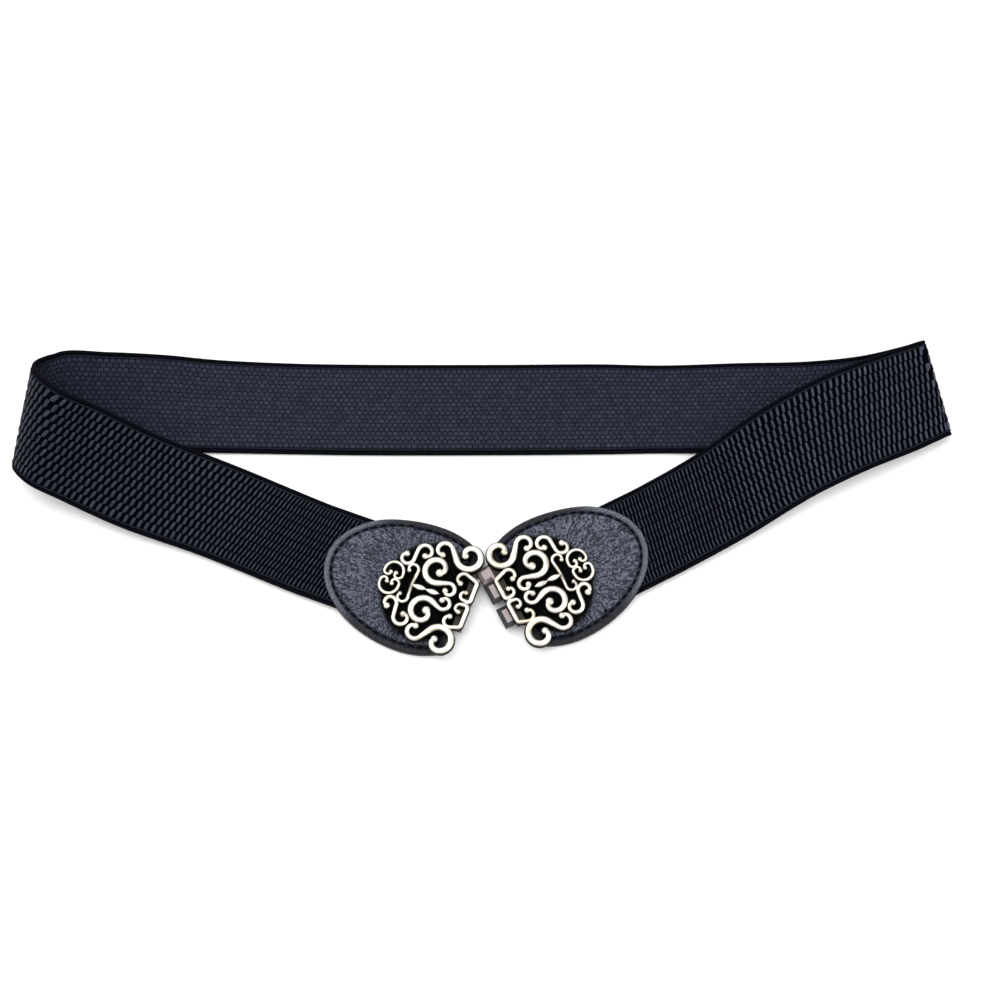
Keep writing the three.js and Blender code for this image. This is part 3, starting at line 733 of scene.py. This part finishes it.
def dome(u, v, radius):
    """The ball at a scroll's end: a low dome with steep sides."""
    points, rise = [], []
    for reach, height in DOME:
        for i in range(DOME_POINTS):
            angle = 2 * math.pi * i / DOME_POINTS
            points.append((u + radius * reach * math.cos(angle), v + radius * reach * math.sin(angle),
                           height * RELIEF))
            rise.append(height)
    faces = strips(len(DOME), DOME_POINTS)
    last = (len(DOME) - 1) * DOME_POINTS
    faces += [tuple(range(DOME_POINTS))[::-1], tuple(last + i for i in range(DOME_POINTS))]
    return np.array(points), faces, np.array(rise)


def leaf(u, v, length, width, angle):
    along = np.linspace(-1, 1, LEAF_POINTS)
    c, s = math.cos(math.radians(angle)), math.sin(math.radians(angle))
    line = np.column_stack([u + length * along * c, v + length * along * s,
                            LEAF_SWELL * width * np.maximum(LEAF_TIP, (1 - along ** 2) ** 0.8)])
    return ribbon(line * PLATE_HEIGHT)


def plate(side):
    """All the scrolls and leaves of one plate."""
    half = HALVES[side]
    parts = []
    for turns in SCROLLS.values():
        line = scroll_line(turns)
        parts.append(ribbon(line))
        for turn, point in ((turns[0], line[0]), (turns[-1], line[-1])):
            if turn[7]:
                parts.append(dome(point[0], point[1], turn[7] * PLATE_HEIGHT))
    parts += [leaf(*one) for one in LEAVES]
    points, faces, rise = join(parts)
    points = points + [0, 0, PLATE_BASE]
    if half["hand"] < 0:
        faces = [face[::-1] for face in faces]
    return mesh(f"{side}_scrollwork", place(half, points), faces, floats={"rise": rise})


def bevelled(name, node, width):
    """A copy of a small CAD solid with its edges softened."""
    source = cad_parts[node]
    obj = bpy.data.objects.new(name, source.data.copy())
    bpy.context.scene.collection.objects.link(obj)
    obj.data.materials.clear()
    weld = obj.modifiers.new("weld", "WELD")
    weld.merge_threshold = 1e-6
    bevel = obj.modifiers.new("bevel", "BEVEL")
    bevel.width, bevel.segments, bevel.limit_method = width * MM, 3, "ANGLE"
    apply_modifiers(obj)
    obj.data.shade_flat()
    return obj


# Materials

class Shade:
    """A small helper that builds a node material."""

    def __init__(self, name, **inputs):
        self.material = bpy.data.materials.new(name)
        self.material.use_nodes = True
        self.tree = self.material.node_tree
        self.shader = self.tree.nodes["Principled BSDF"]
        for key, value in inputs.items():
            self.shader.inputs[key.replace("_", " ")].default_value = value

    def node(self, kind, links=None, **settings):
        node = self.tree.nodes.new(kind)
        for key, value in settings.items():
            setattr(node, key, value)
        for key, value in (links or {}).items():
            socket = node.inputs[key]
            if isinstance(value, bpy.types.NodeSocket):
                self.tree.links.new(value, socket)
            else:
                socket.default_value = value
        return node

    def noise(self, scale, detail, output="Fac"):
        """Noise over the object, with its scale in features a metre."""
        links = {"Vector": self.where(), "Scale": scale, "Detail": detail}
        return self.node("ShaderNodeTexNoise", links).outputs[output]

    def where(self):
        return self.node("ShaderNodeTexCoord").outputs["Object"]

    def spread(self, value, low, high):
        """Takes a value from 0 to 1 to the range from low to high."""
        return self.node("ShaderNodeMapRange", {"Value": value, "To Min": low, "To Max": high}).outputs[0]

    def attribute(self, name):
        return self.node("ShaderNodeAttribute", attribute_name=name).outputs["Fac"]

    def math(self, operation, a, b=0.0):
        return self.node("ShaderNodeMath", {0: a, 1: b}, operation=operation).outputs[0]

    def ramp(self, value, stops):
        node = self.node("ShaderNodeValToRGB", {"Fac": value})
        while len(node.color_ramp.elements) < len(stops):
            node.color_ramp.elements.new(0.5)
        for element, (position, color) in zip(node.color_ramp.elements, stops):
            element.position = position
            element.color = (*color, 1)
        return node.outputs["Color"]

    def mix(self, factor, a, b):
        node = self.node("ShaderNodeMix", data_type="RGBA")
        for index, value in ((0, factor), (6, a), (7, b)):
            if isinstance(value, bpy.types.NodeSocket):
                self.tree.links.new(value, node.inputs[index])
            else:
                node.inputs[index].default_value = value if index == 0 else (*value, 1)
        return node.outputs[2]

    def bump(self, height, strength, distance, normal=None):
        links = {"Height": height, "Strength": strength, "Distance": distance}
        if normal is not None:
            links["Normal"] = normal
        return self.node("ShaderNodeBump", links).outputs["Normal"]

    def link(self, value, key):
        self.tree.links.new(value, self.shader.inputs[key])


def webbing_material():
    """Near black, with a thin pale line along the crest of the bead at each edge of the outer face."""
    shade = Shade("elastic_webbing", Roughness=0.8, Specular_IOR_Level=0.02)
    noise = shade.noise(2600.0, 3.0)
    edge = shade.attribute("edge")
    line = shade.ramp(shade.math("DIVIDE", edge, 4.0), [
        (0.0, (0.006, 0.007, 0.012)), (0.30, (0.003, 0.004, 0.008)), (0.38, (0.001, 0.001, 0.002)),
        (0.49, (0.030, 0.034, 0.048)), (0.60, (0.0005, 0.0008, 0.003)), (1.0, (0.0005, 0.0008, 0.003))])
    outer = shade.mix(noise, (0, 0, 0), line)
    inner = shade.mix(noise, (0.001, 0.002, 0.006), (0.009, 0.011, 0.020))
    face = shade.math("MULTIPLY", shade.attribute("inner"), shade.math("GREATER_THAN", edge, 2.3))
    shade.link(shade.mix(face, outer, inner), "Base Color")
    shade.link(shade.bump(noise, 0.35, 0.0002), "Normal")
    return shade.material


def rib_material():
    shade = Shade("elastic_ribs", Roughness=0.45, Specular_IOR_Level=0.15)
    noise = shade.noise(420.0, 4.0)
    fibre = shade.noise(3800.0, 2.0)
    bright = shade.mix(shade.attribute("tone"), (0.007, 0.010, 0.019), (0.120, 0.137, 0.190))
    shade.link(shade.mix(noise, (0.010, 0.012, 0.020), bright), "Base Color")
    shade.link(shade.bump(fibre, 0.4, 0.00015), "Normal")
    return shade.material


def knit_material():
    shade = Shade("elastic_knit", Roughness=0.65, Specular_IOR_Level=0.14)
    noise = shade.noise(600.0, 4.0)
    fibre = shade.noise(3800.0, 2.0)
    bright = shade.mix(shade.attribute("tone"), (0.001, 0.002, 0.007), (0.033, 0.039, 0.066))
    shade.link(shade.mix(noise, (0.003, 0.004, 0.010), bright), "Base Color")
    shade.link(shade.bump(fibre, 0.4, 0.00015), "Normal")
    return shade.material


def leather_material():
    """Dark blue grained leather with radial wrinkles, a paler border and a dark stitched groove, with
    painted shade in the wrinkles and the grain and a painted shadow under the plate.
    """
    shade = Shade("leather")
    where = shade.where()
    rays = shade.node("ShaderNodeAttribute", attribute_name="rays").outputs["Vector"]
    creases = shade.node("ShaderNodeTexNoise", {
        "Vector": rays, "Scale": 1.0, "Detail": 2.5, "Roughness": 0.5, "Distortion": 0.7}).outputs["Fac"]
    warp = shade.noise(500.0, 2.0, "Color")
    shaken = shade.node("ShaderNodeMixRGB", {
        "Fac": 0.0008, "Color1": where, "Color2": warp}).outputs["Color"]
    grain = shade.node("ShaderNodeTexVoronoi", {"Vector": shaken, "Scale": 1250.0}).outputs["Distance"]
    pores = shade.noise(2200.0, 3.0)
    patches = shade.noise(40.0, 2.0)
    edge, strap = shade.attribute("edge"), shade.attribute("strap")
    body = shade.mix(patches, (0.088, 0.100, 0.145), (0.160, 0.176, 0.238))
    # Painted shade: darker along the wrinkles' creases and in the crevices between the grains.
    crease_shade = shade.ramp(creases, [(0.42, (1, 1, 1)), (0.53, (0, 0, 0))])
    body = shade.mix(crease_shade, body, (0.018, 0.021, 0.032))
    grain_shade = shade.ramp(grain, [(0.30, (0, 0, 0)), (0.78, (1, 1, 1))])
    body = shade.mix(grain_shade, body, (0.008, 0.010, 0.016))
    inward = shade.math("DIVIDE", edge, INSIDE)
    pale = shade.ramp(inward, [
        (0.0, (0.012, 0.013, 0.018)), (0.04, (0.125, 0.134, 0.162)), (0.12, (0.130, 0.142, 0.180)),
        (0.24, (0.070, 0.077, 0.102)), (0.28, (0.014, 0.016, 0.024)), (0.38, (0.014, 0.016, 0.024))])
    deep = shade.ramp(inward, [
        (0.0, (0.003, 0.003, 0.005)), (0.10, (0.014, 0.015, 0.021)), (0.24, (0.012, 0.013, 0.019)),
        (0.28, (0.010, 0.011, 0.017)), (0.38, (0.010, 0.011, 0.017))])
    border = shade.mix(strap, deep, pale)
    speckle = shade.ramp(pores, [(0.36, (0, 0, 0)), (0.52, (1, 1, 1))])
    border = shade.mix(speckle, (0.010, 0.011, 0.015), border)
    inside = shade.node("ShaderNodeMapRange", {
        "Value": edge, "From Min": 3.2, "From Max": 3.9}).outputs[0]
    color = shade.mix(inside, border, body)
    # Painted shadow under the plate: there the leather is near black and has little sheen.
    under = shade.attribute("shade")
    shade.link(shade.mix(under, color, (0.002, 0.002, 0.002)), "Base Color")
    shine = shade.spread(under, 0.22, 0.03)
    shade.link(shine, "Specular IOR Level")
    first = shade.bump(creases, 0.6, 0.0010)
    height = shade.math("SUBTRACT", 1.0, grain)
    second = shade.bump(height, 0.6, 0.0006, first)
    shade.link(shade.bump(pores, 0.25, 0.0002, second), "Normal")
    rough = shade.spread(creases, 0.62, 0.34)
    shade.link(rough, "Roughness")
    return shade.material


def thread_material():
    shade = Shade("thread", Roughness=0.6, Specular_IOR_Level=0.04)
    twist = shade.noise(3000.0, 2.0)
    shade.link(shade.mix(twist, (0.0005, 0.0005, 0.003), (0.003, 0.004, 0.012)), "Base Color")
    shade.link(shade.bump(twist, 0.5, 0.0001), "Normal")
    return shade.material


def scroll_material():
    """Worn plating, blackened with patina down the sides of the scrolls, with painted shading on their
    rounded tops: brightest at the core and darker towards the shoulders.
    """
    shade = Shade("scrollwork", Metallic=1.0)
    spots = shade.noise(700.0, 5.0)
    wide = shade.noise(110.0, 3.0)
    rise = shade.math("ADD", shade.attribute("rise"), shade.math("MULTIPLY", spots, 0.12))
    tint = shade.ramp(wide, [(0.32, (0.40, 0.36, 0.33)), (0.43, (0.70, 0.67, 0.58)),
                             (0.55, (0.80, 0.77, 0.66)), (0.68, (0.52, 0.45, 0.35))])
    # Painted shading on the rounded tops, brightest at the core and darker at the shoulders; the black
    # below it is the patina down the sides.
    height = shade.ramp(rise, [
        (0.0, (0, 0, 0)), (0.77, (0.01, 0.01, 0.01)), (0.97, (0.34, 0.34, 0.34)), (1.06, (1, 1, 1))])
    shade.link(shade.mix(height, (0.004, 0.003, 0.002), tint), "Base Color")
    rough = shade.spread(height, 0.75, 0.32)
    shade.link(rough, "Roughness")
    shade.link(shade.bump(spots, 0.12, 0.0002), "Normal")
    return shade.material


# Bounds of the lugs' painted shade: past ENGAGED_FROM the sides keep the lit colour, and up to COVERED_TO
# lies the painted shadow of the plates.
ENGAGED_FROM = 10.4
COVERED_TO = 15.5
FLAT_ABOVE = 0.97
BRUSH_TURN = math.radians(38)


def lug_material(half):
    """Brushed tops with dark edges, which are painted shade, and a painted shadow where the plates lie over
    the metal.
    """
    shade = Shade("lugs", Metallic=0.9)
    where = shade.where()
    turned = shade.node("ShaderNodeMapping", {
        "Vector": where, "Rotation": (0, 0, BRUSH_TURN), "Scale": (4200.0, 240.0, 240.0)}).outputs["Vector"]
    lines = shade.node("ShaderNodeTexNoise", {
        "Vector": turned, "Scale": 1.0, "Detail": 3.0}).outputs["Fac"]
    brushed = shade.mix(lines, (0.13, 0.112, 0.110), (0.36, 0.31, 0.305))
    facing = shade.node("ShaderNodeNewGeometry").outputs["True Normal"]
    upward = shade.node("ShaderNodeSeparateXYZ", {"Vector": facing}).outputs["Z"]
    turn = math.radians(half["heading"])
    way = Vector((math.cos(turn), math.sin(turn), 0))
    side = Vector((-way.y, way.x, 0)) * half["hand"]
    middle = Vector((half["x"] * PLATE_HEIGHT + SHIFT[0], half["y"] * PLATE_HEIGHT + SHIFT[1], 0)) * MM
    along, across = (
        shade.node("ShaderNodeVectorMath", {0: where, 1: axis}, operation="DOT_PRODUCT").outputs["Value"]
        for axis in (way, side))
    # Painted shade: all but the upward faces are dark, except on the lugs that stand out past ENGAGED_FROM.
    flat = shade.math("GREATER_THAN", upward, FLAT_ABOVE)
    engaged = shade.math("GREATER_THAN", across, middle.dot(side) + ENGAGED_FROM * MM)
    bright = shade.math("MAXIMUM", flat, engaged)
    color = shade.mix(bright, (0.055, 0.055, 0.062), brushed)
    # Painted shadow where the plates lie over the metal.
    plate_shadow = shade.math("LESS_THAN", along, middle.dot(way) + COVERED_TO * MM)
    shade.link(shade.mix(plate_shadow, color, (0.026, 0.022, 0.019)), "Base Color")
    rough = shade.spread(lines, 0.32, 0.55)
    shade.link(rough, "Roughness")
    shade.link(shade.bump(lines, 0.3, 0.0002), "Normal")
    return shade.material


def finish_piece(obj, material, slot, *nodes):
    """Gives a piece its material, hangs it under the root body and hides the CAD nodes it stands for; slot
    is not used.
    """
    obj.data.materials.clear()
    obj.data.materials.append(material)
    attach(obj, "root")
    if nodes:
        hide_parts(*nodes)
    return obj


webbing = finish_piece(band_base(), webbing_material(), "elastic", "elastic_band")
finish_piece(ribs(), rib_material(), "elastic")
finish_piece(knit(), knit_material(), "elastic")

leather, thread, scrollwork = leather_material(), thread_material(), scroll_material()
for side in HALVES:
    finish_piece(tab(side), leather, "leather", f"{side}_leather_tab")
    finish_piece(stitches(side), thread, "leather")
    finish_piece(plate(side), scrollwork, "scrollwork", f"{side}_scroll_plate")
for side, name, node, width in (("right", "lug_bar", "right_clasp_lugs", 0.25),
                                ("left", "keeper_bar", "left_clasp_keeper", 0.2)):
    finish_piece(bevelled(name, node, width), lug_material(HALVES[side]), "lugs", node)


# Floor, light and camera

FLOOR_SIZE = 3.0
CAMERA_ELEVATION, CAMERA_DISTANCE = 70, 0.575
WORLD_STRENGTH = 0.85


def floor():
    size = FLOOR_SIZE
    data = bpy.data.meshes.new("floor")
    corners = [(-size, -size, 0), (size, -size, 0), (size, size, 0), (-size, size, 0)]
    data.from_pydata(corners, [], [(0, 1, 2, 3)])
    obj = bpy.data.objects.new("floor", data)
    bpy.context.scene.collection.objects.link(obj)
    shade = Shade("floor", Base_Color=(0.96, 0.96, 0.96, 1), Roughness=0.9)
    data.materials.append(shade.material)


def area_light(name, place, size, power):
    data = bpy.data.lights.new(name, "AREA")
    data.shape, data.size, data.energy = "DISK", size, power
    obj = bpy.data.objects.new(name, data)
    obj.location = place
    obj.rotation_euler = (-Vector(place)).to_track_quat("-Z", "Y").to_euler()
    bpy.context.scene.collection.objects.link(obj)


def camera():
    elevation = math.radians(CAMERA_ELEVATION)
    target = Vector(SHIFT * MM)
    data = bpy.data.cameras.new("camera")
    data.sensor_width, data.lens = 36, 54
    obj = bpy.data.objects.new("camera", data)
    away = Vector((0, -math.cos(elevation), math.sin(elevation)))
    obj.location = target + away * CAMERA_DISTANCE
    obj.rotation_euler = (math.pi / 2 - elevation, 0, 0)
    bpy.context.scene.collection.objects.link(obj)
    bpy.context.scene.camera = obj


floor()
area_light("key", (-0.35, 0.3, 1.0), 1.2, 9)
area_light("fill", (0.8, -0.3, 0.8), 1.0, 4)
world = bpy.data.worlds.new("studio")
world.use_nodes = True
background = world.node_tree.nodes["Background"]
background.inputs["Color"].default_value = (1, 1, 1, 1)
background.inputs["Strength"].default_value = WORLD_STRENGTH
bpy.context.scene.world = world
bpy.context.scene.view_settings.view_transform = "Standard"
camera()

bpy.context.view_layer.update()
